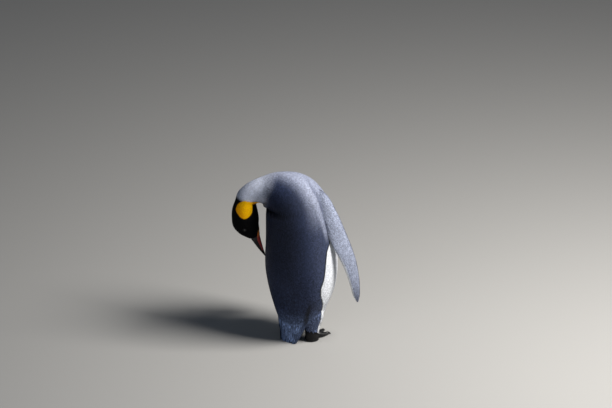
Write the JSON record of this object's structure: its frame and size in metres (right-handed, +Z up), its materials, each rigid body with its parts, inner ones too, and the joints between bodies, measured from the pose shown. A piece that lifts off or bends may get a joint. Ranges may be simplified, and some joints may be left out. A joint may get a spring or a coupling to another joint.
{
  "type": "king penguin",
  "caption": "Life-size adult king penguin, standing and bending its neck back to preen its left flank, one flipper held out.",
  "frame": {"origin": "on the ground under the middle of the part's box", "axes": "the bird's trunk faces -Y, its left side is +X and +Z is up"},
  "size_m": [0.3724, 0.3008, 0.6164],
  "materials": {
    "back": "smooth overlapping feathers, slate blue above and white below",
    "nape": "short silver-grey feathers",
    "hood": "very short black feathers with an orange ear patch",
    "flipper": "scale-like blue-grey feathers, white underneath",
    "horn": "black horn",
    "plate": "orange-pink horny plate",
    "eye": "wet dark brown",
    "foot": "black pebbled scaly skin"
  },
  "bodies": {
    "root": {"trunk": "back", "neck_base": "nape", "neck_top": "nape", "head": "hood", "eye_left": "eye", "eye_right": "eye", "bill_upper": "horn", "bill_lower": "horn", "bill_plate_left": "plate", "bill_plate_right": "plate", "flipper_left": "flipper", "flipper_right": "flipper", "tail": "back", "leg_left": "back", "leg_right": "back", "foot_left": "foot", "foot_right": "foot", "claw_inner_left": "horn", "claw_middle_left": "horn", "claw_outer_left": "horn", "claw_inner_right": "horn", "claw_middle_right": "horn", "claw_outer_right": "horn"}
  },
  "joints": []
}
